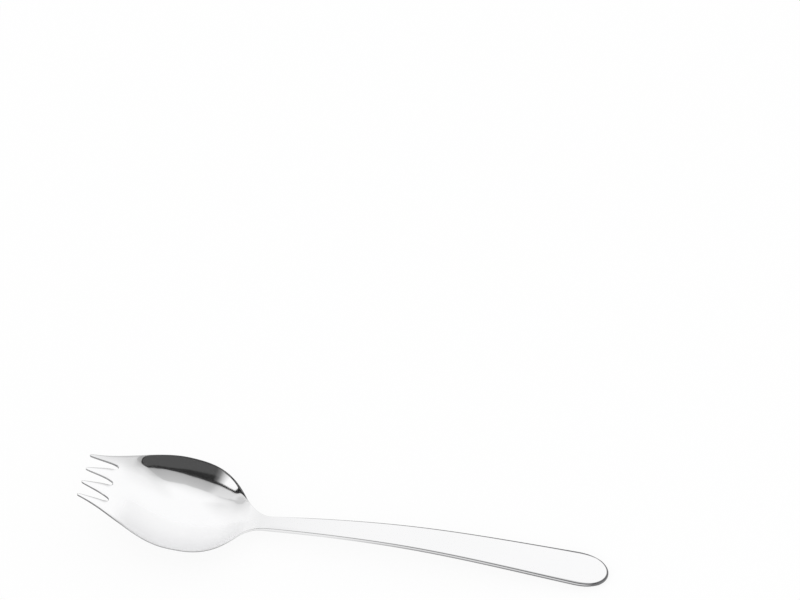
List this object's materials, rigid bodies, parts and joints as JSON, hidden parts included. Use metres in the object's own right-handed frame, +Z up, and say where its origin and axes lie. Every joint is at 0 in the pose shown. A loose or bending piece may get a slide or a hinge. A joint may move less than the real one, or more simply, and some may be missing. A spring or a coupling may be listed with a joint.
{
  "type": "spork",
  "caption": "Polished stainless steel spork with a deep bowl cut into pointed tines, a slim neck and an arched, widening handle with a rounded end; scoops and spears food.",
  "frame": {"origin": "middle of the footprint on the table that the spork lies on, halfway between the tine tips and the end of the handle", "axes": "+X from the tines to the handle, +Z up out of the hollow of the bowl, +Y across"},
  "size_m": [0.1899, 0.0404, 0.0208],
  "materials": {
    "polished_steel": "mirror-polished stainless steel"
  },
  "bodies": {
    "root": {"spork": "polished_steel"}
  },
  "joints": []
}
